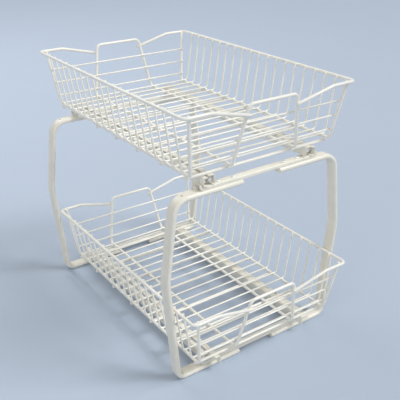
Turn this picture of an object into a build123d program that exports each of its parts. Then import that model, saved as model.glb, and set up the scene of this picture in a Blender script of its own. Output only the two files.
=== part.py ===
from build123d import *
import os
from math import cos, radians, sin

# Two-tier sliding organizer: two wire baskets, one above the other, each rolling
# forward on a pair of rails, in a stand of four bent flat-oval tubes.
# Millimetres, +Z up. The baskets pull out towards -Y. The origin is at the centre
# of the whole outline, on the surface that the stand rests on.

# Driving sizes

basket_width = 296.0
basket_length = 439.0
basket_depth = 87.0
tier_rise = 290.0
slide_travel = 300.0

# resting places: the lower basket stands a little further forward than the upper one
lower_pull = 17.0
basket_setback = 5.0

# basket wires
frame_wire = 5.0
grid_wire = 3.0
frame_wire_sides = 8
grid_wire_sides = 6
frame_bend_facet = 30.0
grid_bend_facet = 60.0
weld_sink = 0.3
rim_corner_radius = 8.0
floor_side_inset = 21.5
floor_bend_radius = 8.0
end_wall_lean = 14.8
corner_post_lean = 11.6
post_top_rise = 1.0

grid_wire_count = 18
grid_floor_inset = 14.0
grid_rim_inset = 32.5
grid_bend_radius = 4.0
grid_bend_overhang = 4.0

cross_wire_count = 7
cross_wire_inset = 9.5
end_wire_heights = (14.0, 36.0, 58.0)

# the rim dips at each end to meet the handle
dip_depth = 14.6
dip_start_half = 104.4
dip_joint_half = 44.0
dip_lap = 4.0
dip_bend_radius = 25.0
handle_top_half = 41.3
handle_foot_half = 56.8
handle_drop = 1.3
handle_bend_radius = 9.0

# stand
tube_thick = 8.0
tube_deep = 19.0
leg_rail_inset = 8.0
arm_end_half = 33.0
leg_corner_inset = 3.5
leg_kink_out = 15.5
leg_kink_height = 172.0
leg_top_radius = 24.0
leg_kink_radius = 70.0
leg_foot_radius = 12.0
tube_edge_sides = 4
tube_bend_facet = 20.0
vent_half = 131.0
vent_diameter = 4.0
vent_sink = 4.0

# crossbars, pressed from sheet with a lip down each edge and turned-up ends
sheet = 1.2
crossbar_deep = 13.0
crossbar_height = 5.0
crossbar_turn_radius = 2.4
crossbar_turn_rise = 1.0
crossbar_bend_facet = 30.0
crossbar_screw_halves = (45.0, 72.0)

# rails
rail_length = 398.0
rail_outer_half = 101.0
channel_top_width = 7.0
channel_floor_width = 8.0
channel_bend_radius = 2.8
runner_end_reach = 6.0
runner_rail_inset = 9.0
runner_width = 10.0
runner_bend_radius = 3.0
runner_floor_clearance = 1.6
runner_channel_clearance = 0.8
side_clearance = 0.4

front_roller_diameter = 12.0
front_roller_width = 6.0
front_roller_inset = 9.0
rear_roller_diameter = 11.0
rear_roller_width = 5.0
rear_roller_inset = 14.0
roller_clearance = 0.2
roller_end_clearance = 0.3
journal_diameter = 4.0
journal_clearance = 0.05
shoulder_diameter = 6.0
pin_head_diameter = 6.0
pin_head_thick = 1.0
pin_cap_thick = 0.5
roller_web_gap = 0.6
stop_tab_drop = 3.6
stop_tab_width = 4.5
stop_tab_clearance = 0.3

# screws and rivets
screw_shank = 3.9
screw_hole_clearance = 0.15
screw_head = 7.0
screw_head_height = 2.0
screw_head_taper = 25.0
screw_bite = 6.0
rivet_shank = 3.2
rivet_head = 5.0
rivet_head_height = 0.9
small_sides = 6

# Heights above the top of a tier's arms, and places along Y and X

channel_floor = crossbar_height
channel_height = 2 * sheet + rear_roller_diameter + 2 * roller_clearance
runner_underside = channel_floor + channel_height + runner_channel_clearance
runner_top = runner_underside + sheet
cross_wire_z = runner_top + frame_wire / 2 - weld_sink
floor_z = cross_wire_z + frame_wire - weld_sink
grid_z = floor_z + (frame_wire + grid_wire) / 2 - weld_sink
rim_z = floor_z + basket_depth
front_roller_z = runner_underside - roller_clearance - front_roller_diameter / 2
rear_roller_z = channel_floor + sheet + roller_clearance + rear_roller_diameter / 2

rim_half_x = (basket_width - frame_wire) / 2
rim_half_y = (basket_length - frame_wire) / 2
side_half = rim_half_x - floor_side_inset
end_half = rim_half_y - frame_wire + weld_sink - end_wall_lean
grid_floor_span = 2 * (end_half - grid_floor_inset)
grid_rim_span = 2 * (rim_half_y - grid_rim_inset)
cross_wire_span = 2 * (end_half - cross_wire_inset)

upper_y = lower_pull / 2
lower_y = -lower_pull / 2
frame_y = upper_y + basket_setback
lower_arm_top = tube_thick
upper_arm_top = tube_thick + tier_rise
leg_half_y = rail_length / 2 - leg_rail_inset
leg_corner_half = basket_width / 2 - leg_corner_inset
leg_kink_half = leg_corner_half + leg_kink_out
runner_length = cross_wire_span + 2 * runner_end_reach
runner_outer_half = rail_outer_half - runner_rail_inset
rear_roller_back = runner_length / 2 - rear_roller_inset
rivet_half = rail_outer_half - channel_bend_radius - rivet_head / 2
front_roller_y = frame_y - rail_length / 2 + front_roller_inset
front_roller_x = runner_outer_half - sheet - front_roller_width
rear_roller_x = rail_outer_half - sheet - roller_web_gap - rear_roller_width - pin_cap_thick
parts = {}


def keep(name, *solids):
    parts[name] = list(solids)


# Wires

def chords(path, facet, least=1):
    """The path with each bend cut into equal chords of about the given turn."""
    route = [path @ 0]
    for edge in path.order_edges():
        turn = (edge % 0).get_angle(edge % 1)
        pieces = max(least if turn > 1 else 1, round(turn / facet))
        route += [edge @ (i / pieces) for i in range(1, pieces + 1)]
    return Polyline(*route)


def section(origin, tangent, across, diameter, sides):
    """A wire's section as a flat-sided outline, with a flat facing each neighbour."""
    turn = 0 if sides == grid_wire_sides else 180 / sides
    plane = Plane(origin=origin, x_dir=across, z_dir=tangent)
    return plane * RegularPolygon(diameter / 2, sides, major_radius=False, rotation=turn)


def bent_wire(points, radii, across, diameter, sides, facet):
    path = chords(FilletPolyline(*points, radius=radii), facet)
    face = section(path @ 0, path % 0, across, diameter, sides)
    return sweep(face, path=path, transition=Transition.RIGHT).solid()


def frame_bent(points, radii, across):
    return bent_wire(points, radii, across, frame_wire, frame_wire_sides, frame_bend_facet)


def straight_wire(start, end, across, diameter, sides):
    line = Line(start, end)
    return extrude(section(start, line % 0, across, diameter, sides), line.length).solid()


def both_sides(solid):
    return solid, mirror(solid, Plane.YZ)


def rim_half():
    """One half of the rim, open at both ends, where it dips to lap the handle."""
    slope = dip_depth / (dip_start_half - dip_joint_half)
    end_x = dip_joint_half - dip_lap
    drop = slope * (dip_start_half - end_x)
    end_y = rim_half_y - end_wall_lean * drop / basket_depth
    front = [
        (end_x, -end_y, rim_z - drop),
        (dip_start_half, -rim_half_y, rim_z),
        (rim_half_x, -rim_half_y, rim_z),
    ]
    rear = [(x, -y, z) for x, y, z in reversed(front)]
    radii = [dip_bend_radius, rim_corner_radius, rim_corner_radius, dip_bend_radius]
    return frame_bent(front + rear, radii, (0, 1, 0))


def end_wall_y(height):
    """Where the leaning end wall's wires stand, at a height above the floor wires."""
    return end_half + end_wall_lean * height / basket_depth


def handle_loop():
    """Both handles and the two floor wires between them, bent from one closed loop."""
    top = basket_depth - handle_drop
    y_top = end_wall_y(top)
    z_top = floor_z + top
    front = [
        (0, -y_top, z_top),
        (handle_top_half, -y_top, z_top),
        (handle_foot_half, -end_half, floor_z),
    ]
    rear = [(x, -y, z) for x, y, z in reversed(front)]
    radii = [handle_bend_radius, floor_bend_radius, floor_bend_radius, handle_bend_radius]
    half = frame_bent(front + rear, radii, (0, 0, 1))
    return (half + mirror(half, Plane.YZ)).solid()


def side_loop():
    """A floor-edge wire whose two ends stand up as the basket's corner posts."""
    top = basket_depth + post_top_rise
    x_top = side_half + corner_post_lean * top / basket_depth
    front = [(x_top, -end_wall_y(top), floor_z + top), (side_half, -end_half, floor_z)]
    rear = [(x, -y, z) for x, y, z in reversed(front)]
    lean = Vector(basket_depth, 0, -corner_post_lean)
    return frame_bent(front + rear, [floor_bend_radius, floor_bend_radius], lean)


def grid_wires():
    """The wires that cross the floor, lie over its long wires and climb both sides."""
    x_foot = side_half + grid_bend_overhang
    x_top = rim_half_x - (frame_wire + grid_wire) / 2 + weld_sink
    rise = rim_z + grid_wire / 2 - grid_z
    wires = []
    for i in range(grid_wire_count):
        share = i / (grid_wire_count - 1) - 0.5
        y_foot = share * grid_floor_span
        y_top = share * grid_rim_span
        right = [(x_foot, y_foot, grid_z), (x_top, y_top, grid_z + rise)]
        left = [(-x, y, z) for x, y, z in reversed(right)]
        across = Vector(0, rise, y_foot - y_top)
        radii = [grid_bend_radius, grid_bend_radius]
        shape = grid_wire, grid_wire_sides, grid_bend_facet
        wires.append(bent_wire(left + right, radii, across, *shape))
    return wires


def end_wires():
    """Three level wires across each end wall, welded inside the posts and the handle."""
    inset = (frame_wire + grid_wire) / 2 - weld_sink
    wires = []
    for side in (-1, 1):
        for height in end_wire_heights:
            reach = side_half + corner_post_lean * height / basket_depth + grid_wire / 2
            y = side * (end_wall_y(height) - inset)
            z = floor_z + height
            ends = (-reach, y, z), (reach, y, z)
            wires.append(straight_wire(*ends, (0, 1, 0), grid_wire, grid_wire_sides))
    return wires


def cross_wires():
    """The thick wires under the floor that tie the long wires to the runners."""
    reach = side_half + frame_wire / 2
    pitch = cross_wire_span / (cross_wire_count - 1)
    wires = []
    for i in range(cross_wire_count):
        y = i * pitch - cross_wire_span / 2
        ends = (-reach, y, cross_wire_z), (reach, y, cross_wire_z)
        wires.append(straight_wire(*ends, (0, 1, 0), frame_wire, frame_wire_sides))
    return wires


# Sheet and turned pieces

def bent_sheet(outline, radius, length, y_start):
    """A strip of sheet bent along the outline in X and Z, running back from y_start."""
    outer = FilletPolyline(*outline, radius=radius)
    strip = make_face(offset(outer, sheet, side=Side.LEFT, closed=True))
    face = Plane(origin=(0, y_start, 0), x_dir=(1, 0, 0), z_dir=(0, -1, 0)) * strip
    return extrude(face, -length).solid()


def peg(diameter, height):
    """A small upright pin or hole, many-sided, from z 0 up."""
    outline = RegularPolygon(diameter / 2, small_sides, major_radius=False)
    return extrude(outline, height)


def block(low, high):
    size = [b - a for a, b in zip(low, high)]
    centre = [(a + b) / 2 for a, b in zip(low, high)]
    return Pos(*centre) * Box(*size)


def journal(diameter, height):
    return Pos(0, 0, height / 2) * Cylinder(diameter / 2, height)


def along_x(x_start, y, z, steps):
    """A stepped pin on an X axis: each step has its make, its diameter and its length."""
    pin = None
    x = x_start
    for make, diameter, length in steps:
        step = Pos(x, y, z) * Rot(0, 90, 0) * make(diameter, length)
        pin = step if pin is None else pin + step
        x += length
    return pin.solid()


def fixed_rail():
    """A C channel, open inwards, that holds the front roller and guides the rear one."""
    floor_edge = rail_outer_half - channel_floor_width
    top_edge = rail_outer_half - channel_top_width
    top = channel_floor + channel_height
    outline = [
        (floor_edge, channel_floor),
        (rail_outer_half, channel_floor),
        (rail_outer_half, top),
        (top_edge, top),
    ]
    front = frame_y - rail_length / 2
    rail = bent_sheet(outline, channel_bend_radius, rail_length, front)
    roller_front = frame_y - basket_setback + rear_roller_back - rear_roller_diameter / 2
    closed_face = roller_front + rear_roller_diameter + stop_tab_clearance
    open_face = roller_front - slide_travel - stop_tab_clearance
    x = rail_outer_half - sheet - roller_web_gap
    x_notch = rail_outer_half - channel_bend_radius
    for y, back in ((closed_face, sheet), (open_face - sheet, -stop_tab_drop)):
        notch = (top_edge - sheet, y + back, top - 2 * sheet)
        rail -= block(notch, (x_notch, y + back + stop_tab_drop, top + sheet))
        low = (x - stop_tab_width, y, top - sheet - stop_tab_drop)
        rail += block(low, (x, y + sheet, top - sheet / 2))
    pin_hole = Pos(rail_outer_half, front_roller_y, front_roller_z)
    rail -= pin_hole * Rot(0, -90, 0) * peg(journal_diameter, 2 * sheet)
    for side in (-1, 1):
        hole = Pos(rivet_half, frame_y + side * leg_half_y, channel_floor - sheet / 2)
        rail -= hole * peg(rivet_shank, 2 * sheet)
    return rail.solid()


def runner():
    """An inverted L under the basket: it rides on the front roller, outside the channel."""
    inner = runner_outer_half - runner_width
    outline = [
        (runner_outer_half, runner_top),
        (inner, runner_top),
        (inner, channel_floor + runner_floor_clearance),
    ]
    angle = bent_sheet(outline, runner_bend_radius, runner_length, -runner_length / 2)
    hole = Pos(inner, rear_roller_back, rear_roller_z) * Rot(0, 90, 0)
    return (angle - hole * peg(journal_diameter, 2 * sheet)).solid()


def roller(diameter, width, x_start, y, z):
    """A nylon wheel with a running bore."""
    bore = journal_diameter / 2 + journal_clearance
    axis = Pos(x_start + width / 2, y, z) * Rot(0, 90, 0)
    wheel = Cylinder(diameter / 2, width) - Cylinder(bore, 2 * width)
    return (axis * wheel).solid()


def front_pin():
    """The front roller's pin, riveted through the channel's web."""
    cap_x = front_roller_x - roller_end_clearance - pin_cap_thick
    shoulder = rail_outer_half - sheet - front_roller_x - front_roller_width - roller_end_clearance
    steps = [
        (peg, pin_head_diameter, pin_cap_thick),
        (journal, journal_diameter, front_roller_width + 2 * roller_end_clearance),
        (peg, shoulder_diameter, shoulder),
        (peg, journal_diameter, sheet),
        (peg, pin_head_diameter, pin_head_thick),
    ]
    return along_x(cap_x, front_roller_y, front_roller_z, steps)


def rear_pin():
    """The rear roller's pin, riveted through the runner's wall."""
    wall_x = runner_outer_half - runner_width
    shoulder = rear_roller_x - roller_end_clearance - wall_x - sheet
    steps = [
        (peg, pin_head_diameter, pin_head_thick),
        (peg, journal_diameter, sheet),
        (peg, shoulder_diameter, shoulder),
        (journal, journal_diameter, rear_roller_width + 2 * roller_end_clearance),
        (peg, pin_head_diameter, pin_cap_thick),
    ]
    return along_x(wall_x - pin_head_thick, rear_roller_back, rear_roller_z, steps)


# Stand

def flat_oval():
    """The stand's tube section: two flats joined by many-sided half rounds."""
    radius = tube_thick / 2
    flat = tube_deep / 2 - radius
    corners = []
    for side in (1, -1):
        for i in range(tube_edge_sides + 1):
            angle = radians(180 * i / tube_edge_sides - 90)
            corners.append((side * (flat + radius * cos(angle)), side * radius * sin(angle)))
    return make_face(Polyline(*corners, close=True))


def leg(side_x, side_y):
    """One bent flat-oval tube: lower arm, leaning upright with a kink, upper arm."""
    low = tube_thick / 2
    high = upper_arm_top - tube_thick / 2
    points = [
        (arm_end_half, low),
        (leg_corner_half, low),
        (leg_kink_half, leg_kink_height),
        (leg_corner_half, high),
        (arm_end_half, high),
    ]
    path_points = [(side_x * x, frame_y + side_y * leg_half_y, z) for x, z in points]
    radii = [leg_foot_radius, leg_kink_radius, leg_top_radius]
    path = chords(FilletPolyline(*path_points, radius=radii), tube_bend_facet, least=2)
    plane = Plane(origin=path @ 0, x_dir=(0, 1, 0), z_dir=path % 0)
    tube = sweep(plane * flat_oval(), path=path, transition=Transition.RIGHT).solid()
    for arm_top in (lower_arm_top, upper_arm_top):
        for x in crossbar_screw_halves:
            hole = Pos(side_x * x, frame_y + side_y * leg_half_y, arm_top - screw_bite)
            tube -= hole * peg(screw_shank, 2 * screw_bite)
    vent = Pos(side_x * vent_half, frame_y + side_y * leg_half_y, upper_arm_top - vent_sink)
    return (tube - vent * peg(vent_diameter, 2 * vent_sink)).solid()


def crossbar(side_y, arm_top):
    """A lipped strip across two arms, its ends turned up to hold the rails apart."""
    y = frame_y + side_y * leg_half_y
    turn = crossbar_turn_radius
    x_end = rail_outer_half + side_clearance
    z = crossbar_height
    corner_z = z + turn + crossbar_turn_rise
    points = [(-x_end, y, corner_z), (-x_end, y, z), (x_end, y, z), (x_end, y, corner_z)]
    path = chords(FilletPolyline(*points, radius=turn), crossbar_bend_facet)
    lips = crossbar_deep / 2
    outline = Polyline(
        (-lips, 0),
        (lips, 0),
        (lips, -crossbar_height),
        (lips - sheet, -crossbar_height),
        (lips - sheet, -sheet),
        (sheet - lips, -sheet),
        (sheet - lips, -crossbar_height),
        (-lips, -crossbar_height),
        close=True,
    )
    plane = Plane(origin=path @ 0, x_dir=(0, 1, 0), z_dir=path % 0)
    bar = sweep(plane * make_face(outline), path=path, transition=Transition.RIGHT).solid()
    for side in (-1, 1):
        for x in crossbar_screw_halves:
            hole = Pos(side * x, y, z - 2 * sheet)
            bar -= hole * peg(screw_shank + 2 * screw_hole_clearance, 4 * sheet)
        bar -= Pos(side * rivet_half, y, z - 2 * sheet) * peg(rivet_shank, 4 * sheet)
    return Pos(0, 0, arm_top) * bar.solid()


def crossbar_screws(arm_top):
    """Pan-head screws through the crossbars into the arms."""
    length = crossbar_height + screw_bite
    shank = Pos(0, 0, -length) * peg(screw_shank, length)
    head = RegularPolygon(screw_head / 2, small_sides, major_radius=False)
    screw = (shank + extrude(head, screw_head_height, taper=screw_head_taper)).solid()
    places = []
    for side_y in (-1, 1):
        for side_x in (-1, 1):
            for x in crossbar_screw_halves:
                place = Pos(side_x * x, frame_y + side_y * leg_half_y, arm_top + crossbar_height)
                places.append(place * screw)
    return places


def rail_rivets(arm_top):
    """Rivets that hold the channels' floors down on the crossbars."""
    rivet = Pos(0, 0, -sheet) * peg(rivet_shank, 2 * sheet)
    for z in (sheet, -sheet - rivet_head_height):
        rivet += Pos(0, 0, z) * peg(rivet_head, rivet_head_height)
    rivet = rivet.solid()
    places = []
    for side_y in (-1, 1):
        for side_x in (-1, 1):
            y = frame_y + side_y * leg_half_y
            places.append(Pos(side_x * rivet_half, y, arm_top + crossbar_height) * rivet)
    return places


# All pieces in place

for side_y, end in ((-1, "front"), (1, "rear")):
    for side_x, hand in ((-1, "left"), (1, "right")):
        keep(f"{end}_{hand}_leg", leg(side_x, side_y))

rim_pair = both_sides(rim_half())
side_pair = both_sides(side_loop())
runner_pair = both_sides(runner())
rail_pair = both_sides(fixed_rail())
front_pins = both_sides(front_pin())
rear_pins = both_sides(rear_pin())
front_wheel = roller(
    front_roller_diameter, front_roller_width, front_roller_x, front_roller_y, front_roller_z
)
rear_wheel = roller(
    rear_roller_diameter, rear_roller_width, rear_roller_x, rear_roller_back, rear_roller_z
)
front_wheels = both_sides(front_wheel)
rear_wheels = both_sides(rear_wheel)
handles = handle_loop()
grid = grid_wires()
ends = end_wires()
crosses = cross_wires()

for tier, arm_top, basket_y in (
    ("lower", lower_arm_top, lower_y),
    ("upper", upper_arm_top, upper_y),
):
    on_stand = Pos(0, 0, arm_top)
    on_slide = Pos(0, basket_y, arm_top)
    for side_y, end in ((-1, "front"), (1, "rear")):
        keep(f"{tier}_{end}_crossbar", crossbar(side_y, arm_top))
    keep(f"{tier}_crossbar_screws", *crossbar_screws(arm_top))
    keep(f"{tier}_rail_rivets", *rail_rivets(arm_top))
    keep(f"{tier}_front_roller_pins", *[on_stand * pin for pin in front_pins])
    keep(f"{tier}_rear_roller_pins", *[on_slide * pin for pin in rear_pins])
    keep(f"{tier}_handle_loop", on_slide * handles)
    keep(f"{tier}_grid_wires", *[on_slide * wire for wire in grid])
    keep(f"{tier}_end_wires", *[on_slide * wire for wire in ends])
    keep(f"{tier}_cross_wires", *[on_slide * wire for wire in crosses])
    for i, hand in ((1, "left"), (0, "right")):
        keep(f"{tier}_{hand}_channel", on_stand * rail_pair[i])
        keep(f"{tier}_{hand}_front_roller", on_stand * front_wheels[i])
        keep(f"{tier}_{hand}_rear_roller", on_slide * rear_wheels[i])
        keep(f"{tier}_{hand}_runner", on_slide * runner_pair[i])
        keep(f"{tier}_{hand}_rim", on_slide * rim_pair[i])
        keep(f"{tier}_{hand}_side_loop", on_slide * side_pair[i])

os.makedirs("parts", exist_ok=True)
for name, solids in parts.items():
    export_step(Compound(children=solids), f"parts/{name}.step")
print(len(parts), "nodes")
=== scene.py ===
from math import degrees, pi, radians, tan

import bmesh
import bpy
from mathutils import Matrix, Vector


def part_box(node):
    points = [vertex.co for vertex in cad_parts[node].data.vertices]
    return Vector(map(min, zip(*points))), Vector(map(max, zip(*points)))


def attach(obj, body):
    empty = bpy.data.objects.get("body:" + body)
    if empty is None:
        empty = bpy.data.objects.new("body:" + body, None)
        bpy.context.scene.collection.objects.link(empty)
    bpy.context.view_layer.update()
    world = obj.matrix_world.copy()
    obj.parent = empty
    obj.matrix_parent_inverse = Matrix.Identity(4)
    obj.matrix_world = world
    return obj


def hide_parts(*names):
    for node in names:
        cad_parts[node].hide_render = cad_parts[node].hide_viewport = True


# Two-tier sliding organizer: two coated wire baskets on rollers and rails, in a stand
# of four bent flat-oval tubes. Each piece is built once, about the height of its tier's
# arms, and copied to both tiers.

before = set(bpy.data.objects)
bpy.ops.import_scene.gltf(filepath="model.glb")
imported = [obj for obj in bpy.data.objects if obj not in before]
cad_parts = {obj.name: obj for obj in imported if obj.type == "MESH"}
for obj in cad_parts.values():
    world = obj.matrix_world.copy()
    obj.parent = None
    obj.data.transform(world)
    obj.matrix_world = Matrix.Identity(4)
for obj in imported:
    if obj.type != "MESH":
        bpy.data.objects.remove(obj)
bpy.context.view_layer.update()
mm = 0.001


def low(node):
    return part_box(node)[0]


def high(node):
    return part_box(node)[1]


# where each tier stands: the top of its arms, and the middle of its basket
tiers = ("lower", "upper")
armTop = {tier: low(tier + "_front_crossbar").z for tier in tiers}
basketY = {
    tier: (low(tier + "_handle_loop").y + high(tier + "_handle_loop").y) / 2
    for tier in tiers
}
standY = (low("front_left_leg").y + high("rear_left_leg").y) / 2
hands = {"left": -1, "right": 1}
ends = ("front", "rear")


# Camera

cameraSettings = {
    "place": (-0.5552, -0.8283, 0.6646),
    "turn": -34.9,      # degrees from looking along +Y
    "down": 25.7,
    "roll": -0.34,
    "lens": 59.1,
    "sensor": 36.0,
    "nearest": 0.01,
}


def makeCamera(s):
    data = bpy.data.cameras.new("camera")
    data.lens = s["lens"]
    data.sensor_width = s["sensor"]
    data.clip_start = s["nearest"]
    camera = bpy.data.objects.new("camera", data)
    bpy.context.scene.collection.objects.link(camera)
    aim = Matrix.Rotation(radians(s["turn"]), 4, "Z")
    tip = Matrix.Rotation(radians(90 - s["down"]), 4, "X")
    roll = Matrix.Rotation(radians(s["roll"]), 4, "Z")
    camera.matrix_world = Matrix.Translation(s["place"]) @ aim @ tip @ roll
    bpy.context.scene.camera = camera


makeCamera(cameraSettings)
print("camera placed")


# Finishes

class Signal:
    # a socket of one finish, so that sums on it read as plain maths
    def __init__(self, finish, socket):
        self.finish = finish
        self.socket = socket

    def maths(self, operation, first, second):
        return self.finish.node("ShaderNodeMath", {"operation": operation}, {0: first, 1: second})

    def __add__(self, other):
        return self.maths("ADD", self, other)

    def __mul__(self, other):
        return self.maths("MULTIPLY", self, other)

    __radd__ = __add__
    __rmul__ = __mul__


class Finish:
    def __init__(self, name):
        self.material = bpy.data.materials.new(name)
        self.material.use_nodes = True
        self.nodes = self.material.node_tree.nodes
        self.links = self.material.node_tree.links
        self.shader = self.nodes["Principled BSDF"]

    def node(self, kind, settings, inputs, output=0):
        made = self.nodes.new(kind)
        for key, value in settings.items():
            setattr(made, key, value)
        for key, value in inputs.items():
            self.feed(made.inputs[key], value)
        return Signal(self, made.outputs[output])

    def feed(self, socket, value):
        if isinstance(value, Signal):
            self.links.new(value.socket, socket)
        elif isinstance(value, tuple) and len(value) == 3 and socket.type == "RGBA":
            socket.default_value = (*value, 1)
        else:
            socket.default_value = value

    def set(self, **values):
        for name, value in values.items():
            self.feed(self.shader.inputs[name.replace("_", " ")], value)

    def noise(self, scale, detail, roughness):
        place = self.node("ShaderNodeTexCoord", {}, {}, "Object")
        inputs = {"Vector": place, "Scale": scale, "Detail": detail, "Roughness": roughness}
        return self.node("ShaderNodeTexNoise", {}, inputs)

    def band(self, signal, start, end):
        # 0 below start, 1 above end
        inputs = {"Value": signal, "From Min": start, "From Max": end}
        return self.node("ShaderNodeMapRange", {"clamp": True}, inputs)

    def blend(self, amount, first, second):
        settings = {"data_type": "RGBA"}
        return self.node("ShaderNodeMix", settings, {0: amount, 6: first, 7: second}, 2)

    def bump(self, height, strength, depth):
        inputs = {"Height": height, "Strength": strength, "Distance": depth}
        return self.node("ShaderNodeBump", {}, inputs)


paintSettings = {
    "basketCoating": {
        "base": (0.93, 0.915, 0.85),
        "shade": (0.87, 0.85, 0.775),
        "rough": 0.30,
        "roughSwing": 0.14,
        "coat": 0.35,
        "coatRough": 0.16,
        "peelScale": 520,     # ripples of the coating, per metre
        "peelDepth": 0.12 * mm,
        "peelStrength": 0.28,
    },
    "standPaint": {
        "base": (0.88, 0.85, 0.755),
        "shade": (0.81, 0.775, 0.675),
        "rough": 0.36,
        "roughSwing": 0.16,
        "coat": 0.25,
        "coatRough": 0.22,
        "peelScale": 430,
        "peelDepth": 0.14 * mm,
        "peelStrength": 0.34,
    },
}
coating = {
    "peelDetail": (2, 0.45),    # octaves of a noise, and how rough it is
    "slowScale": 14,
    "slowDetail": (3, 0.6),
    "cloudScale": 55,
    "cloudDetail": (4, 0.65),
    "slowShare": 0.6,
    "cloudShare": 0.4,
    "toneBand": (0.36, 0.66),
    "peelRough": 0.06,
}
nylon = {
    "base": (0.80, 0.80, 0.765),
    "worn": (0.60, 0.595, 0.57),
    "flow": (0.76, 0.755, 0.72),
    "flowScale": 260,
    "flowDetail": (3, 0.55),
    "flowShare": 0.5,
    "speckScale": 1400,
    "speckDetail": (2, 0.6),
    "speckBand": (0.58, 0.72),
    "speckShare": 0.5,
    "rough": 0.32,
    "roughSwing": 0.2,
    "glow": 0.12,             # light that soaks in, and how far
    "soak": (1.0 * mm, 1.0 * mm, 0.8 * mm),
    "bumpStrength": 0.12,
    "bumpDepth": 0.1 * mm,
}
zinc = {
    "base": (0.76, 0.755, 0.73),
    "bright": (0.88, 0.875, 0.85),
    "spangleScale": 700,
    "spangleDetail": (3, 0.6),
    "grainScale": 2600,
    "grainDetail": (2, 0.5),
    "rough": 0.30,
    "spangleRough": 0.22,
    "grainRough": 0.1,
    "bumpStrength": 0.18,
    "bumpDepth": 0.05 * mm,
}


def coatedSteel(name, s):
    # a baked coating: slow changes of tone, a fine orange peel and a thin clear skin
    c = coating
    finish = Finish(name)
    peel = finish.noise(s["peelScale"], *c["peelDetail"])
    slow = finish.noise(c["slowScale"], *c["slowDetail"])
    cloud = finish.noise(c["cloudScale"], *c["cloudDetail"])
    tone = finish.band(slow * c["slowShare"] + cloud * c["cloudShare"], *c["toneBand"])
    ripple = cloud * s["roughSwing"] + peel * c["peelRough"]
    finish.set(
        Base_Color=finish.blend(tone, s["shade"], s["base"]),
        Roughness=ripple + (s["rough"] - s["roughSwing"] / 2),
        Coat_Weight=s["coat"],
        Coat_Roughness=s["coatRough"],
        Normal=finish.bump(peel, s["peelStrength"], s["peelDepth"]),
    )
    return finish.material


def nylonFinish():
    # moulded rollers: milky, with flow marks and a little grey from use on the tread
    s = nylon
    finish = Finish("rollerNylon")
    flow = finish.noise(s["flowScale"], *s["flowDetail"])
    specks = finish.band(finish.noise(s["speckScale"], *s["speckDetail"]), *s["speckBand"])
    worn = finish.blend(specks * s["speckShare"], s["base"], s["worn"])
    finish.set(
        Base_Color=finish.blend(flow * s["flowShare"], worn, s["flow"]),
        Roughness=flow * s["roughSwing"] + s["rough"],
        Subsurface_Weight=s["glow"],
        Subsurface_Radius=s["soak"],
        Normal=finish.bump(flow, s["bumpStrength"], s["bumpDepth"]),
    )
    return finish.material


def zincFinish():
    # bright zinc on screws, rivets and pins: fine turning marks and a soft spangle
    s = zinc
    finish = Finish("fastenerZinc")
    spangle = finish.noise(s["spangleScale"], *s["spangleDetail"])
    grain = finish.noise(s["grainScale"], *s["grainDetail"])
    finish.set(
        Base_Color=finish.blend(spangle, s["base"], s["bright"]),
        Metallic=1.0,
        Roughness=spangle * s["spangleRough"] + grain * s["grainRough"] + s["rough"],
        Normal=finish.bump(grain, s["bumpStrength"], s["bumpDepth"]),
    )
    return finish.material


materials = {name: coatedSteel(name, s) for name, s in paintSettings.items()}
materials["rollerNylon"] = nylonFinish()
materials["fastenerZinc"] = zincFinish()
print("finishes:", len(materials))


# Making pieces

mergeGap = 0.002 * mm
sharpFrom = 38    # degrees between faces, from which an edge looks sharp
softFrom = 35     # degrees, from which a sheet's edge is bevelled
wireStep = 9.0    # degrees of a wire's bend to each step
beadSides, beadRings = 10, 6
cornerSteps = {"tube": 6, "sheet": 7}


def facing(origin, along, across):
    # a frame whose Z runs along the bar and whose X points across it
    along = Vector(along).normalized()
    across = Vector(across)
    side = (across - along * across.dot(along)).normalized()
    axes = Matrix((side, along.cross(side), along)).transposed().to_4x4()
    return Matrix.Translation(origin) @ axes


def edgesAmong(verts):
    # in a steady order, so that every run gives the same mesh
    chosen = set(verts)
    edges = dict.fromkeys(e for v in verts for e in v.link_edges)
    return [e for e in edges if set(e.verts) <= chosen]


def roundCorners(bm, verts, radii, segments):
    # rounds each corner that has a radius, and gives the verts of the new outline
    kept = list(verts)
    for vert, radius in zip(verts, radii):
        if radius:
            kept.remove(vert)
            rounded = bmesh.ops.bevel(
                bm, geom=[vert], offset=radius, offset_type="OFFSET", segments=segments,
                profile=0.5, affect="VERTICES", material=-1,
            )
            kept += [v for v in rounded["verts"] if v not in kept]
    return kept


def wireRing(bm, diameter, sides, place):
    circle = bmesh.ops.create_circle(bm, radius=diameter / 2, segments=sides, matrix=place)
    return edgesAmong(circle["verts"])


def outlineRing(bm, corners, place):
    # a closed outline whose corners are (x, y, radius)
    verts = [bm.verts.new((x, y, 0)) for x, y, radius in corners]
    for i, vert in enumerate(verts):
        bm.edges.new((verts[i - 1], vert))
    kept = roundCorners(bm, verts, [c[2] for c in corners], cornerSteps["tube"])
    bmesh.ops.transform(bm, matrix=place, verts=kept)
    return edgesAmong(kept)


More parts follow.
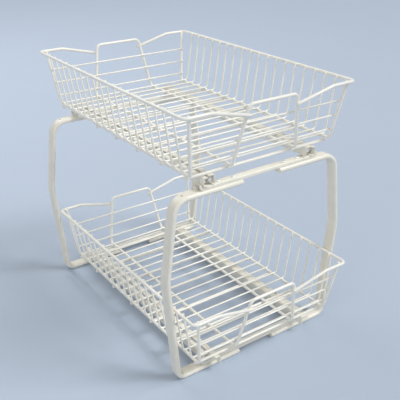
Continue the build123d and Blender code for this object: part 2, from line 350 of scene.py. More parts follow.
def sweepRing(bm, ring, points, radii, turnStep=wireStep):
    # straight runs are extruded, and each bend is spun about its own centre
    points = [Vector(p) for p in points]
    at = points[0]
    for i in range(1, len(points)):
        corner = points[i]
        ahead = (corner - at).normalized()
        bends = i < len(points) - 1
        stop = corner
        if bends:
            onward = (points[i + 1] - corner).normalized()
            turn = ahead.angle(onward)
            radius = radii[i - 1]
            stop = corner - ahead * radius * tan(turn / 2)
        grown = bmesh.ops.extrude_edge_only(bm, edges=ring)["geom"]
        verts = [g for g in grown if isinstance(g, bmesh.types.BMVert)]
        bmesh.ops.translate(bm, verts=verts, vec=stop - at)
        ring = edgesAmong(verts)
        if bends:
            side = (onward - ahead * ahead.dot(onward)).normalized()
            steps = max(2, round(degrees(turn) / turnStep))
            spun = bmesh.ops.spin(
                bm, geom=ring, cent=stop + side * radius, axis=ahead.cross(onward),
                angle=turn, steps=steps, use_duplicate=False,
            )
            ring = [g for g in spun["geom_last"] if isinstance(g, bmesh.types.BMEdge)]
            at = corner + onward * radius * tan(turn / 2)
    return ring


def capRing(bm, ring, rounding):
    bmesh.ops.edgeloop_fill(bm, edges=ring)
    if rounding:
        # a face turned the wrong way would spoil the bevel
        bmesh.ops.recalc_face_normals(bm, faces=bm.faces[:])
        bmesh.ops.bevel(
            bm, geom=ring, offset=rounding, offset_type="OFFSET", segments=3,
            profile=0.5, affect="EDGES", material=-1,
        )


def wire(bm, points, radii, diameter, sides, across, rounding):
    start = facing(points[0], Vector(points[1]) - Vector(points[0]), across)
    first = wireRing(bm, diameter, sides, start)
    last = sweepRing(bm, first, points, radii)
    for ring in (first, last):
        capRing(bm, ring, rounding)


def bead(bm, place, size):
    # a weld under the coating: a small soft swelling where two wires meet
    size = [n * mm for n in size]
    bmesh.ops.create_uvsphere(
        bm, u_segments=beadSides, v_segments=beadRings, radius=1.0,
        matrix=Matrix.Translation(place) @ Matrix.Diagonal((*size, 1)),
    )


def turned(bm, outline, place, steps, closed=False):
    # outline is (along, radius), turned about the local X axis
    before = set(bm.verts)
    verts = [bm.verts.new((x, 0, r)) for x, r in outline]
    following = verts[1:] + verts[:1] if closed else verts[1:]
    edges = [bm.edges.new(pair) for pair in zip(verts, following)]
    bmesh.ops.spin(
        bm, geom=verts + edges, cent=(0, 0, 0), axis=(1, 0, 0), angle=2 * pi,
        steps=steps, use_duplicate=False,
    )
    bmesh.ops.remove_doubles(bm, verts=[v for v in bm.verts if v not in before], dist=mergeGap)
    bmesh.ops.transform(bm, matrix=place, verts=[v for v in bm.verts if v not in before])


def softenEdges(bm, width):
    sharp = [e for e in bm.edges if e.is_manifold and e.calc_face_angle() > radians(softFrom)]
    bmesh.ops.bevel(
        bm, geom=sharp, offset=width, offset_type="OFFSET", segments=2,
        profile=0.5, affect="EDGES", clamp_overlap=True, material=-1,
    )


def flipX(bm):
    bmesh.ops.scale(bm, vec=(-1, 1, 1), verts=bm.verts[:])


def finished(bm, name):
    bmesh.ops.remove_doubles(bm, verts=bm.verts[:], dist=mergeGap)
    bmesh.ops.dissolve_degenerate(bm, edges=bm.edges[:], dist=mergeGap / 4)
    bmesh.ops.recalc_face_normals(bm, faces=bm.faces[:])
    mesh = bpy.data.meshes.new(name)
    bm.to_mesh(mesh)
    bm.free()
    return mesh


def setNode(node, mesh, shift, finish, body):
    # a copy of the mesh in its place, riding on its body and standing for its node
    name = node.replace("_", "-")
    mesh = mesh.copy()
    mesh.name = name
    mesh.transform(Matrix.Translation(shift))
    mesh.shade_smooth()
    mesh.set_sharp_from_angle(angle=radians(sharpFrom))
    piece = bpy.data.objects.new(name, mesh)
    bpy.context.scene.collection.objects.link(piece)
    mesh.materials.append(materials[finish])
    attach(piece, body)
    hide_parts(node)


# Basket

basket = {
    "thick": 5.0 * mm,
    "thin": 3.0 * mm,
    "sink": 0.3 * mm,
    "thickSides": 18,
    "thinSides": 12,
    "depth": 87.0 * mm,
    "rimCorner": 8.0 * mm,
    "floorInset": 21.5 * mm,
    "floorBend": 8.0 * mm,
    "endLean": 14.8 * mm,
    "postLean": 11.6 * mm,
    "postRise": 1.0 * mm,
    "gridCount": 18,
    "gridFloorInset": 14.0 * mm,
    "gridRimInset": 32.5 * mm,
    "gridBend": 4.5 * mm,
    "gridOverhang": 4.0 * mm,
    "crossCount": 7,
    "crossInset": 9.5 * mm,
    "endHeights": (14.0 * mm, 36.0 * mm, 58.0 * mm),
    "tipRounding": 0.5 * mm,
    "thinTipRounding": 0.4 * mm,
}
dip = {
    "depth": 14.6 * mm,
    "startHalf": 104.4 * mm,
    "jointHalf": 44.0 * mm,
    "lap": 4.0 * mm,
    "bend": 25.0 * mm,
}
handle = {
    "topHalf": 41.3 * mm,
    "footHalf": 56.8 * mm,
    "drop": 1.3 * mm,
    "bend": 9.0 * mm,
}
weld = {
    # half sizes along X, Y and Z, in mm
    "rimLap": (3.4, 1.4, 2.2),
    "postTop": (2.7, 1.2, 2.3),
    "gridFloor": (1.9, 2.1, 1.0),
    "gridRim": (1.0, 2.1, 1.9),
    "endWire": (2.1, 1.0, 1.9),
    "crossWire": (2.4, 2.4, 1.1),
    "lapIn": 0.44,        # of the thick wire's diameter, inwards from its middle
    "postDrop": 0.6 * mm,
}

thick, thin, sink = basket["thick"], basket["thin"], basket["sink"]
floorZ = low("upper_handle_loop").z + thick / 2 - armTop["upper"]
rimZ = floorZ + basket["depth"]
gridZ = floorZ + (thick + thin) / 2 - sink
crossZ = floorZ - thick + sink
rimHalfX = high("upper_right_rim").x - thick / 2
rimHalfY = high("upper_right_rim").y - basketY["upper"] - thick / 2
sideHalf = rimHalfX - basket["floorInset"]
endHalf = rimHalfY - thick + sink - basket["endLean"]
gridFloorSpan = 2 * (endHalf - basket["gridFloorInset"])
gridRimSpan = 2 * (rimHalfY - basket["gridRimInset"])
crossSpan = 2 * (endHalf - basket["crossInset"])


def endWallY(height):
    # where the leaning end wall stands at a height above the floor wires
    return endHalf + basket["endLean"] * height / basket["depth"]


def postX(height):
    # where the leaning corner post stands at that height
    return sideHalf + basket["postLean"] * height / basket["depth"]


def thereAndBack(front):
    # the front points, then the same ones at the rear, back to the starting side
    return front + [(x, -y, z) for x, y, z in reversed(front)]


def thickWire(bm, points, radii, across):
    wire(bm, points, radii, thick, basket["thickSides"], across, basket["tipRounding"])


def thinWire(bm, points, radii, across):
    wire(bm, points, radii, thin, basket["thinSides"], across, basket["thinTipRounding"])


def makeRim():
    # the right half: along the front, round two corners and along the rear
    slope = dip["depth"] / (dip["startHalf"] - dip["jointHalf"])
    endX = dip["jointHalf"] - dip["lap"]
    drop = slope * (dip["startHalf"] - endX)
    endY, endZ = rimHalfY - basket["endLean"] * drop / basket["depth"], rimZ - drop
    front = [
        (endX, -endY, endZ),
        (dip["startHalf"], -rimHalfY, rimZ),
        (rimHalfX, -rimHalfY, rimZ),
    ]
    corner = basket["rimCorner"]
    radii = [dip["bend"], corner, corner, dip["bend"]]
    bm = bmesh.new()
    thickWire(bm, thereAndBack(front), radii, (0, 1, 0))
    for side in (-1, 1):
        y = side * (endY - thick * weld["lapIn"])
        bead(bm, (endX + dip["lap"], y, endZ + slope * dip["lap"]), weld["rimLap"])
    return bm


def makeHandleLoop():
    # both handles and the two floor wires between them, one closed loop
    top = basket["depth"] - handle["drop"]
    yTop, zTop = endWallY(top), floorZ + top
    front = [(handle["topHalf"], -yTop, zTop), (handle["footHalf"], -endHalf, floorZ)]
    corners = thereAndBack(front)
    other = [(-x, -y, z) for x, y, z in corners]
    start = (0, -yTop, zTop)
    points = [start] + corners + other + [start]
    radii = [handle["bend"], basket["floorBend"], basket["floorBend"], handle["bend"]] * 2
    bm = bmesh.new()
    first = wireRing(bm, thick, basket["thickSides"], facing(start, (1, 0, 0), (0, 0, 1)))
    sweepRing(bm, first, points, radii)
    return bm


def makeSideLoop():
    # a floor-edge wire whose ends stand up as the corner posts
    top = basket["depth"] + basket["postRise"]
    front = [(postX(top), -endWallY(top), floorZ + top), (sideHalf, -endHalf, floorZ)]
    lean = (basket["depth"], 0, -basket["postLean"])
    bend = basket["floorBend"]
    bm = bmesh.new()
    thickWire(bm, thereAndBack(front), [bend, bend], lean)
    for side in (-1, 1):
        place = (postX(top), side * (rimHalfY - thick / 2), rimZ - weld["postDrop"])
        bead(bm, place, weld["postTop"])
    return bm


def makeGridWires():
    # thin wires over the floor and up both sides, their ends on the rim
    xFoot = sideHalf + basket["gridOverhang"]
    xTop = rimHalfX - (thick + thin) / 2 + sink
    zTop = rimZ + thin / 2
    bm = bmesh.new()
    floorWires = [sideHalf, handle["footHalf"]]
    for i in range(basket["gridCount"]):
        share = i / (basket["gridCount"] - 1) - 0.5
        yFoot, yTop = share * gridFloorSpan, share * gridRimSpan
        right = [(xFoot, yFoot, gridZ), (xTop, yTop, zTop)]
        left = [(-x, y, z) for x, y, z in reversed(right)]
        across = (0, zTop - gridZ, yFoot - yTop)
        bend = basket["gridBend"]
        thinWire(bm, left + right, [bend, bend], across)
        for side in (-1, 1):
            for x in floorWires:
                bead(bm, (side * x, yFoot, gridZ - thin / 2), weld["gridFloor"])
            bead(bm, (side * (xTop + thin / 2), yTop, rimZ), weld["gridRim"])
    return bm


def makeEndWires():
    # level wires across both ends, inside the posts and the handles' legs
    inset = (thick + thin) / 2 - sink
    bm = bmesh.new()
    for side in (-1, 1):
        for height in basket["endHeights"]:
            reach = postX(height) + thin / 2
            y, z = side * (endWallY(height) - inset), floorZ + height
            thinWire(bm, [(-reach, y, z), (reach, y, z)], [], (0, 1, 0))
            top = basket["depth"] - handle["drop"]
            share = height / top
            legX = handle["footHalf"] + (handle["topHalf"] - handle["footHalf"]) * share
            for x in (-postX(height), -legX, legX, postX(height)):
                bead(bm, (x, y + side * thin / 2, z), weld["endWire"])
    return bm


def makeCrossWires():
    # thick wires under the floor, which lie on the runners
    reach = sideHalf + thick / 2
    bm = bmesh.new()
    for i in range(basket["crossCount"]):
        y = (i / (basket["crossCount"] - 1) - 0.5) * crossSpan
        thickWire(bm, [(-reach, y, crossZ), (reach, y, crossZ)], [], (0, 1, 0))
        for x in (-sideHalf, -handle["footHalf"], handle["footHalf"], sideHalf):
            bead(bm, (x, y, crossZ + thick / 2), weld["crossWire"])
    return bm


def onBothHands(build, name):
    # the right-hand mesh as built, and its mirror image for the left
    made = {}
    for hand in hands:
        bm = build()
        if hand == "left":
            flipX(bm)
        made[hand] = finished(bm, name + hand.capitalize())
    return made


rims = onBothHands(makeRim, "rim")
sideLoops = onBothHands(makeSideLoop, "sideLoop")
handleMesh = finished(makeHandleLoop(), "handleLoop")
gridMesh = finished(makeGridWires(), "gridWires")
endMesh = finished(makeEndWires(), "endWires")
crossMesh = finished(makeCrossWires(), "crossWires")

for tier in tiers:
    shift = (0, basketY[tier], armTop[tier])
    body = tier + "_basket"
    for hand in hands:
        for mesh, word in ((rims[hand], "rim"), (sideLoops[hand], "side_loop")):
            setNode(f"{tier}_{hand}_{word}", mesh, shift, "basketCoating", body)
    for mesh, word in ((handleMesh, "handle_loop"), (gridMesh, "grid_wires"),
                       (endMesh, "end_wires"), (crossMesh, "cross_wires")):
        setNode(f"{tier}_{word}", mesh, shift, "basketCoating", body)
print("baskets made")


# Stand

tube = {
    "thick": 8.0 * mm,
    "deep": 19.0 * mm,
    "armEnd": 33.0 * mm,
    "cornerHalf": 144.5 * mm,
    "kinkHalf": 160.0 * mm,
    "kinkHeight": 172.0 * mm,
    "topRadius": 24.0 * mm,
    "kinkRadius": 70.0 * mm,
    "footRadius": 12.0 * mm,
    "tipRounding": 1.2 * mm,
    "sideRounding": 0.999,      # of half the thickness
    "ventHalf": 131.0 * mm,
    "ventRadius": 2.0 * mm,
    "ventSink": 4.0 * mm,
    "ventSides": 28,
    "turnStep": 5.0,          # degrees
}


def makeLeg():
    # the right-hand tube, with its lower arm on the ground
    across, along = tube["deep"] / 2, tube["thick"] / 2
    edge = along * tube["sideRounding"]
    signs = ((1, 1), (-1, 1), (-1, -1), (1, -1))
    corners = [(i * across, j * along, edge) for i, j in signs]
    lowZ = tube["thick"] / 2
    highZ = armTop["upper"] - tube["thick"] / 2
    points = [
        (tube["armEnd"], 0, lowZ),
        (tube["cornerHalf"], 0, lowZ),
        (tube["kinkHalf"], 0, tube["kinkHeight"]),
        (tube["cornerHalf"], 0, highZ),
        (tube["armEnd"], 0, highZ),
    ]
    bm = bmesh.new()
    first = outlineRing(bm, corners, facing(points[0], (1, 0, 0), (0, 1, 0)))
    radii = [tube["footRadius"], tube["kinkRadius"], tube["topRadius"]]
    last = sweepRing(bm, first, points, radii, tube["turnStep"])
    for ring in (first, last):
        capRing(bm, ring, tube["tipRounding"])
    return bm


crossbar = {
    "deep": 13.0 * mm,
    "height": 5.0 * mm,
    "sheet": 1.2 * mm,
    "endHalf": 101.4 * mm,
    "turnRadius": 2.4 * mm,
    "turnRise": 1.0 * mm,
    "turnStep": 10.0,           # degrees
    "edgeRadius": 1.6 * mm,
    "innerShare": 0.8,          # of the sheet, taken off the inner radius
    "lipRadius": 0.35 * mm,
    "endRounding": 0.25 * mm,
    "screwHalves": (45.0 * mm, 72.0 * mm),
    "rivetHalf": 95.7 * mm,
}


def makeCrossbar():
    # a lipped strip with turned-up ends
    s = crossbar
    lip, inner, deep = s["deep"] / 2, s["deep"] / 2 - s["sheet"], s["height"]
    outer, inside = s["edgeRadius"], s["edgeRadius"] - s["sheet"] * s["innerShare"]
    tip = s["lipRadius"]
    corners = [
        (-lip, 0, outer), (lip, 0, outer), (lip, -deep, tip), (inner, -deep, tip),
        (inner, -s["sheet"], inside), (-inner, -s["sheet"], inside),
        (-inner, -deep, tip), (-lip, -deep, tip),
    ]
    x, z = s["endHalf"], s["height"]
    top = z + s["turnRadius"] + s["turnRise"]
    points = [(-x, 0, top), (-x, 0, z), (x, 0, z), (x, 0, top)]
    bm = bmesh.new()
    first = outlineRing(bm, corners, facing(points[0], (0, 0, -1), (0, 1, 0)))
    radius = s["turnRadius"]
    last = sweepRing(bm, first, points, [radius, radius], s["turnStep"])
    for ring in (first, last):
        capRing(bm, ring, s["endRounding"])
    return bm


legY = {end: (low(f"{end}_left_leg").y + high(f"{end}_left_leg").y) / 2 for end in ends}
screw = {
    "radius": 3.45 * mm,
    "topRadius": 2.3 * mm,
    "height": 1.9 * mm,
    "armReach": 1.55 * mm,    # of the cross recess
    "armHalf": 0.36 * mm,
    "recess": 1.1 * mm,
    "recessShare": 0.6,       # how much of its width is left at the bottom
    "steps": 32,
    "turns": {"first": 0.5, "end": 1.1, "pair": 0.7, "side": 0.4},
}
rivet = {
    "radius": 2.45 * mm,
    "height": 0.85 * mm,
    "rim": 1.2 * mm,          # of the hollow in its tail
    "hollow": 1.1 * mm,
    "sunk": 0.2,              # of the height: where the hollow's floor lies
    "steps": 28,
}
upright = Matrix.Rotation(radians(-90), 4, "Y")


def makeScrewHead(bm, place):
    # a pan head, its top filled round a cross recess that narrows downwards
    s = screw
    r, top, h = s["radius"], s["topRadius"], s["height"]
    before = set(bm.verts)
    outline = [
        (0, 0), (0, r), (h * 0.35, r), (h * 0.7, r * 0.93), (h * 0.92, r * 0.8), (h, top),
    ]
    turned(bm, outline, upright, s["steps"])
    circle = [v for v in bm.verts if v not in before and abs(v.co.z - h) < 0.01 * mm]
    a, b = s["armReach"], s["armHalf"]
    cross = [
        (a, -b), (a, b), (b, b), (b, a), (-b, a), (-b, b),
        (-a, b), (-a, -b), (-b, -b), (-b, -a), (b, -a), (b, -b),
    ]
    verts = [bm.verts.new((x, y, h)) for x, y in cross]
    edges = [bm.edges.new((verts[i - 1], verts[i])) for i in range(len(verts))]
    bmesh.ops.triangle_fill(bm, use_beauty=True, edges=edgesAmong(circle) + edges)
    walls = bmesh.ops.extrude_edge_only(bm, edges=edges)["geom"]
    bottom = [g for g in walls if isinstance(g, bmesh.types.BMVert)]
    for vert in bottom:
        x, y = vert.co.xy * s["recessShare"]
        vert.co = Vector((x, y, h - s["recess"]))
    bmesh.ops.edgeloop_fill(bm, edges=edgesAmong(bottom))
    bmesh.ops.transform(bm, matrix=place, verts=[v for v in bm.verts if v not in before])


def makeScrews():
    # one tier's eight, each one stopped at its own angle
    t = screw["turns"]
    bm = bmesh.new()
    for i, end in enumerate(ends):
        for j, x in enumerate(crossbar["screwHalves"]):
            for side in (-1, 1):
                angle = t["first"] + t["end"] * i + t["pair"] * j + t["side"] * side
                place = Matrix.Translation((side * x, legY[end], crossbar["height"]))
                makeScrewHead(bm, place @ Matrix.Rotation(angle, 4, "Z"))
    return bm


def makeRivets():
    # a low domed head on each channel's floor and a flat one under the crossbar
    r, h = rivet["radius"], rivet["height"]
    floor = h * rivet["sunk"]
    dome = [(0, 0), (0, r), (h * 0.45, r), (h * 0.8, r * 0.8), (h, r * 0.45), (h, 0)]
    flat = [(0, 0), (0, r), (-h, r), (-h, rivet["rim"]), (-floor, rivet["hollow"]), (-floor, 0)]
    bm = bmesh.new()
    for end in ends:
        for side in (-1, 1):
            for outline, rise in ((dome, crossbar["sheet"]), (flat, -crossbar["sheet"])):
                x, z = side * crossbar["rivetHalf"], crossbar["height"] + rise
                place = Matrix.Translation((x, legY[end], z))
                turned(bm, outline, place @ upright, rivet["steps"])
    return bm


def drillVent(mesh, side):
    # a small blind vent in the top of the upper arm, where its bend begins
    s = tube
    place = Matrix.Translation((side * s["ventHalf"], 0, armTop["upper"]))
    bm = bmesh.new()
    bmesh.ops.create_cone(
        bm, cap_ends=True, segments=s["ventSides"], radius1=s["ventRadius"],
        radius2=s["ventRadius"], depth=2 * s["ventSink"], matrix=place,
    )
    drill = bpy.data.objects.new("ventDrill", finished(bm, "ventDrill"))
    blank = bpy.data.objects.new("legBlank", mesh)
    for item in (drill, blank):
        bpy.context.scene.collection.objects.link(item)
    cut = blank.modifiers.new("vent", "BOOLEAN")
    cut.operation, cut.solver, cut.object = "DIFFERENCE", "EXACT", drill
    graph = bpy.context.evaluated_depsgraph_get()
    drilled = bpy.data.meshes.new_from_object(blank.evaluated_get(graph))
    for item in (drill, blank):
        bpy.data.objects.remove(item)
    return drilled


legMeshes = onBothHands(makeLeg, "leg")
for hand, side in hands.items():
    legMeshes[hand] = drillVent(legMeshes[hand], side)
crossbarMesh = finished(makeCrossbar(), "crossbar")
screwMesh = finished(makeScrews(), "screws")
rivetMesh = finished(makeRivets(), "rivets")
for end in ends:
    for hand in hands:
        shift = (0, legY[end], 0)
        setNode(f"{end}_{hand}_leg", legMeshes[hand], shift, "standPaint", "stand")
    for tier in tiers:
        shift = (0, legY[end], armTop[tier])
        setNode(f"{tier}_{end}_crossbar", crossbarMesh, shift, "standPaint", "stand")
for tier in tiers:
    for mesh, word in ((screwMesh, "crossbar_screws"), (rivetMesh, "rail_rivets")):
        setNode(f"{tier}_{word}", mesh, (0, 0, armTop[tier]), "fastenerZinc", "stand")
print("stand made")


# Rails

rail = {
    "length": 398.0 * mm,
    "outerHalf": 101.0 * mm,
    "topWidth": 7.0 * mm,
    "floorWidth": 8.0 * mm,
    "floor": 5.0 * mm,
    "height": 13.8 * mm,
    "bend": 2.8 * mm,
    "sheet": 1.2 * mm,
    "edge": 0.18 * mm,
    "tabDrop": 3.6 * mm,
    "tabWidth": 4.5 * mm,
    "tabGap": 0.6 * mm,
    "tabPlay": 0.3 * mm,
    "tabSeat": 0.6,           # of the sheet, by which a tab reaches into the lip
    "tabRounding": 0.2 * mm,
    "travel": 300.0 * mm,
}
runner = {
    "length": 388.0 * mm,
    "outerHalf": 92.0 * mm,
    "width": 10.0 * mm,
    "bend": 3.0 * mm,
    "top": 20.8 * mm,
    "foot": 6.6 * mm,
}


def sheetStrip(bm, corners, start, length, thickness, edge, outward, notches=()):
    # a strip of sheet: corners are (x, z, radius) of its outer side, run back along Y,
    # and each notch is (start, end) along Y, cut out of the last flat
    place = Matrix.Translation((0, start, 0)) @ Matrix.Rotation(radians(90), 4, "X")
    verts = [bm.verts.new((x, z, 0)) for x, z, radius in corners]
    for pair in zip(verts, verts[1:]):
        bm.edges.new(pair)
    kept = roundCorners(bm, verts, [c[2] for c in corners], cornerSteps["sheet"])
    bmesh.ops.transform(bm, matrix=place, verts=kept)
    stops = sorted({y for pair in notches for y in pair} | {start + length})
    at, ring = start, edgesAmong(kept)
    for y in stops:
        grown = bmesh.ops.extrude_edge_only(bm, edges=ring)["geom"]
        verts = [g for g in grown if isinstance(g, bmesh.types.BMVert)]
        bmesh.ops.translate(bm, verts=verts, vec=(0, y - at, 0))
        at, ring = y, edgesAmong(verts)
    tip, before = Vector(corners[-1][:2]), Vector(corners[-2][:2])
    flat = (tip - before).length - corners[-2][2]
    cut = []
    for face in bm.faces:
        middle = face.calc_center_median()
        # the last flat's faces have their middles half its width from the tip
        inFlat = (middle.xz - tip).length < flat * 0.75
        if inFlat and any(first < middle.y < last for first, last in notches):
            cut.append(face)
    bmesh.ops.delete(bm, geom=cut, context="FACES")
    faces = bm.faces[:]
    bmesh.ops.recalc_face_normals(bm, faces=faces)
    widest = max(faces, key=lambda f: f.calc_area())
    if widest.normal.dot(outward(widest.calc_center_median())) < 0:
        bmesh.ops.reverse_faces(bm, faces=faces)
    bmesh.ops.solidify(bm, geom=faces, thickness=thickness)
    softenEdges(bm, edge)


def makeChannel():
    # the right-hand fixed channel, open inwards, with its lanced stops
    s = rail
    x, top = s["outerHalf"], s["floor"] + s["height"]
    corners = [
        (x - s["floorWidth"], s["floor"], 0), (x, s["floor"], s["bend"]),
        (x, top, s["bend"]), (x - s["topWidth"], top, 0),
    ]
    middle = Vector((x - s["floorWidth"] / 2, 0, s["floor"] + s["height"] / 2))

    def outward(point):
        return Vector((point.x - middle.x, 0, point.z - middle.z))

    # stops for the rear roller, lanced down from the top lip, at both ends of its travel
    wheelFront = low("upper_right_rear_roller").y
    closed = high("upper_right_rear_roller").y + s["tabPlay"]
    opened = wheelFront - s["travel"] - s["tabPlay"]
    tabs = [(closed, closed + s["sheet"]), (opened - s["sheet"], opened)]
    notches = [
        (tabs[0][1], tabs[0][1] + s["tabDrop"]),
        (tabs[1][0] - s["tabDrop"], tabs[1][0]),
    ]
    start, thickness = standY - s["length"] / 2, s["sheet"]
    bm = bmesh.new()
    sheetStrip(bm, corners, start, s["length"], thickness, s["edge"], outward, notches)
    for first, last in tabs:
        right = x - thickness - s["tabGap"]
        lowZ, highZ = top - thickness - s["tabDrop"], top - thickness * s["tabSeat"]
        size = Vector((s["tabWidth"], last - first, highZ - lowZ))
        centre = Vector((right - s["tabWidth"] / 2, (first + last) / 2, (lowZ + highZ) / 2))
        place = Matrix.Translation(centre) @ Matrix.Diagonal((*size, 1))
        cube = bmesh.ops.create_cube(bm, size=1.0, matrix=place)
        bmesh.ops.bevel(
            bm, geom=edgesAmong(cube["verts"]), offset=s["tabRounding"], offset_type="OFFSET",
            segments=2, profile=0.5, affect="EDGES", material=-1,
        )
    return bm


def makeRunner():
    # the right-hand runner: a plate under the cross wires and a wall down beside the channel
    s = runner
    inner = s["outerHalf"] - s["width"]
    corners = [
        (s["outerHalf"], s["top"], 0), (inner, s["top"], s["bend"]), (inner, s["foot"], 0),
    ]
    middle = Vector((s["outerHalf"], 0, s["foot"]))

    def outward(point):
        return Vector((point.x - middle.x, 0, point.z - middle.z))

    bm = bmesh.new()
    start = -s["length"] / 2
    sheetStrip(bm, corners, start, s["length"], rail["sheet"], rail["edge"], outward)
    return bm


channelMeshes = onBothHands(makeChannel, "channel")
runnerMeshes = onBothHands(makeRunner, "runner")
for tier in tiers:
    for hand in hands:
        shift = (0, 0, armTop[tier])
        setNode(f"{tier}_{hand}_channel", channelMeshes[hand], shift, "standPaint", "stand")
        shift, body = (0, basketY[tier], armTop[tier]), tier + "_basket"
        setNode(f"{tier}_{hand}_runner", runnerMeshes[hand], shift, "standPaint", body)
print("rails made")


# Rollers and their pins

wheel = {
    "bore": 2.05 * mm,
    "hub": 3.3 * mm,
    "web": 0.45 * mm,       # how far the side is sunk between hub and tread
    "hubSlope": 0.25 * mm,
    "treadSlope": 0.2 * mm,
    "tread": 1.1 * mm,
    "edge": 0.4 * mm,
    "edgeShare": 0.3,       # of the edge, left beside its middle point
    "steps": 44,
}
pin = {
    "radius": 2.0 * mm,
    "head": 2.95 * mm,
    "headThick": 1.0 * mm,
    "cap": 0.5 * mm,
    "endPlay": 0.3 * mm,
    "hollow": 1.35 * mm,
    "hollowDeep": 1.7 * mm,
    "steps": 36,
}


def makeWheel(node):
    # a moulded wheel with a raised hub and a sunk web on both sides
    s = wheel
    corner, far = low(node), high(node)
    half, r = (far.x - corner.x) / 2, (far.z - corner.z) / 2
    edge, nearEdge = s["edge"], s["edge"] * s["edgeShare"]
    side = [
        (half, s["bore"]), (half, s["hub"]), (half - s["web"], s["hub"] + s["hubSlope"]),
        (half - s["web"], r - s["tread"] - s["treadSlope"]), (half, r - s["tread"]),
        (half, r - edge), (half - nearEdge, r - nearEdge), (half - edge, r),
    ]
    outline = side + [(-x, y) for x, y in reversed(side)]
    bm = bmesh.new()
    turned(bm, outline, Matrix.Translation((corner + far) / 2), s["steps"], closed=True)
    return bm


def makePin(node, sheetIn, sheetOut):
    # a shouldered pin: capped inside its wheel, riveted hollow through the sheet; the
    # shares in its outline round off the cap and the riveted head
    s = pin
    corner, far = low(node), high(node)
    out = 1 if sheetOut > sheetIn else -1
    inner, outer = (corner.x, far.x) if out > 0 else (far.x, corner.x)
    big, shank, play, cap = s["head"], s["radius"], s["endPlay"] * out, s["cap"] * out
    head, hollow = s["headThick"] * out, s["hollow"]
    tip = sheetOut + head
    bottom = tip - s["hollowDeep"] * out
    outline = [
        (inner - play - cap, 0), (inner - play - cap, big * 0.85), (inner - play - cap * 0.6, big),
        (inner - play, big), (inner - play, shank), (outer + play, shank), (outer + play, big),
        (sheetIn, big), (sheetIn, shank), (sheetOut, shank), (sheetOut, big),
        (sheetOut + head * 0.5, big), (sheetOut + head * 0.85, big * 0.9), (tip, big * 0.75),
        (tip, hollow * 1.2), (sheetOut + head * 0.85, hollow),
        (bottom, hollow * 0.9), (bottom, 0),
    ]
    bm = bmesh.new()
    middle = (corner + far) / 2
    turned(bm, outline, Matrix.Translation((0, middle.y, middle.z)), s["steps"])
    return bm


def bothHandsOf(bm):
    # the right-hand piece and its mirror image in one mesh
    copied = bmesh.ops.duplicate(bm, geom=bm.verts[:] + bm.edges[:] + bm.faces[:])["geom"]
    verts = [g for g in copied if isinstance(g, bmesh.types.BMVert)]
    bmesh.ops.scale(bm, vec=(-1, 1, 1), verts=verts)
    return bm


web = rail["outerHalf"]
wall = runner["outerHalf"] - runner["width"]
for tier in tiers:
    for end, first, last, body in (
        ("front", web - rail["sheet"], web, "stand"),
        ("rear", wall + rail["sheet"], wall, tier + "_basket"),
    ):
        for hand in hands:
            node = f"{tier}_{hand}_{end}_roller"
            setNode(node, finished(makeWheel(node), "wheel"), (0, 0, 0), "rollerNylon", node)
        pins = bothHandsOf(makePin(f"{tier}_right_{end}_roller", first, last))
        mesh = finished(pins, "pins")
        setNode(f"{tier}_{end}_roller_pins", mesh, (0, 0, 0), "fastenerZinc", body)
print("rollers made")


# Floor, light and world

room = {
    "floorTone": (0.47, 0.55, 0.67),
    "floorDim": 0.97,         # the darker share of its faint mottle
    "floorMottle": (6, 3, 0.5),
    "floorRough": 0.9,
    "floorSize": 30.0,
    "floorDrop": 0.2 * mm,
    "skyTone": (0.60, 0.67, 0.78),
    "fill": 0.32,
    "fillTone": (1.0, 0.965, 0.90),
    "aim": (0, 0, 0.2),       # what the lamps point at
}
lamps = [
    {"name": "key", "kind": "SUN", "place": (1.5, -1.5, 2.5), "spread": 22, "power": 2.0},
    {"name": "side", "kind": "SUN", "place": (-2.0, -1.1, 1.3), "spread": 50, "power": 0.72},
    {"name": "back", "kind": "AREA", "place": (-0.3, 2.1, 2.2), "spread": 1.4, "power": 20},
]


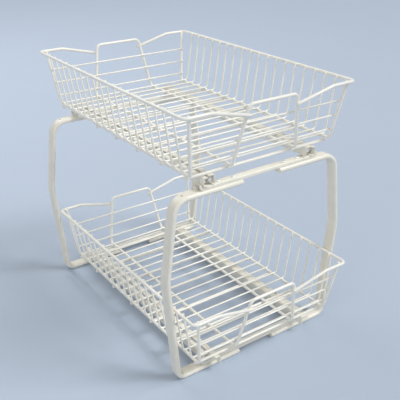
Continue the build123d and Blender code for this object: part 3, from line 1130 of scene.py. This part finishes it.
def makeFloor():
    ground = Finish("floor")
    mottle = ground.noise(*room["floorMottle"])
    tone = room["floorTone"]
    dimmer = tuple(c * room["floorDim"] for c in tone)
    colour = ground.blend(mottle, dimmer, tone)
    ground.set(Base_Color=colour, Roughness=room["floorRough"])
    bm = bmesh.new()
    bmesh.ops.create_grid(bm, x_segments=1, y_segments=1, size=room["floorSize"] / 2)
    floorMesh = finished(bm, "floor")
    floor = bpy.data.objects.new("floor", floorMesh)
    bpy.context.scene.collection.objects.link(floor)
    floorMesh.materials.append(ground.material)
    floor.location.z = -room["floorDrop"]


def hangLamps():
    target = Vector(room["aim"])
    for s in lamps:
        data = bpy.data.lights.new(s["name"], s["kind"])
        if s["kind"] == "SUN":
            data.angle = radians(s["spread"])
        else:
            data.size = s["spread"]
        data.energy = s["power"]
        lamp = bpy.data.objects.new(s["name"], data)
        bpy.context.scene.collection.objects.link(lamp)
        lamp.visible_camera = False
        lamp.location = s["place"]
        lamp.rotation_euler = (target - lamp.location).to_track_quat("-Z", "Y").to_euler()


def makeWorld():
    # the camera and reflections see the sky tone, everything else gets the warm fill
    world = bpy.data.worlds.new("studio")
    bpy.context.scene.world = world
    world.use_nodes = True
    nodes, links = world.node_tree.nodes, world.node_tree.links
    path = nodes.new("ShaderNodeLightPath")
    seen = nodes.new("ShaderNodeBackground")
    seen.inputs["Color"].default_value = (*room["skyTone"], 1)
    ambient = nodes["Background"]
    ambient.inputs["Color"].default_value = (*room["fillTone"], 1)
    ambient.inputs["Strength"].default_value = room["fill"]
    either = nodes.new("ShaderNodeMath")
    either.operation = "MAXIMUM"
    mix = nodes.new("ShaderNodeMixShader")
    links.new(path.outputs["Is Camera Ray"], either.inputs[0])
    links.new(path.outputs["Is Glossy Ray"], either.inputs[1])
    links.new(either.outputs[0], mix.inputs["Fac"])
    links.new(ambient.outputs[0], mix.inputs[1])
    links.new(seen.outputs[0], mix.inputs[2])
    links.new(mix.outputs[0], nodes["World Output"].inputs["Surface"])


makeFloor()
hangLamps()
makeWorld()
bpy.context.scene.view_settings.view_transform = "Standard"

print("all pieces in place")
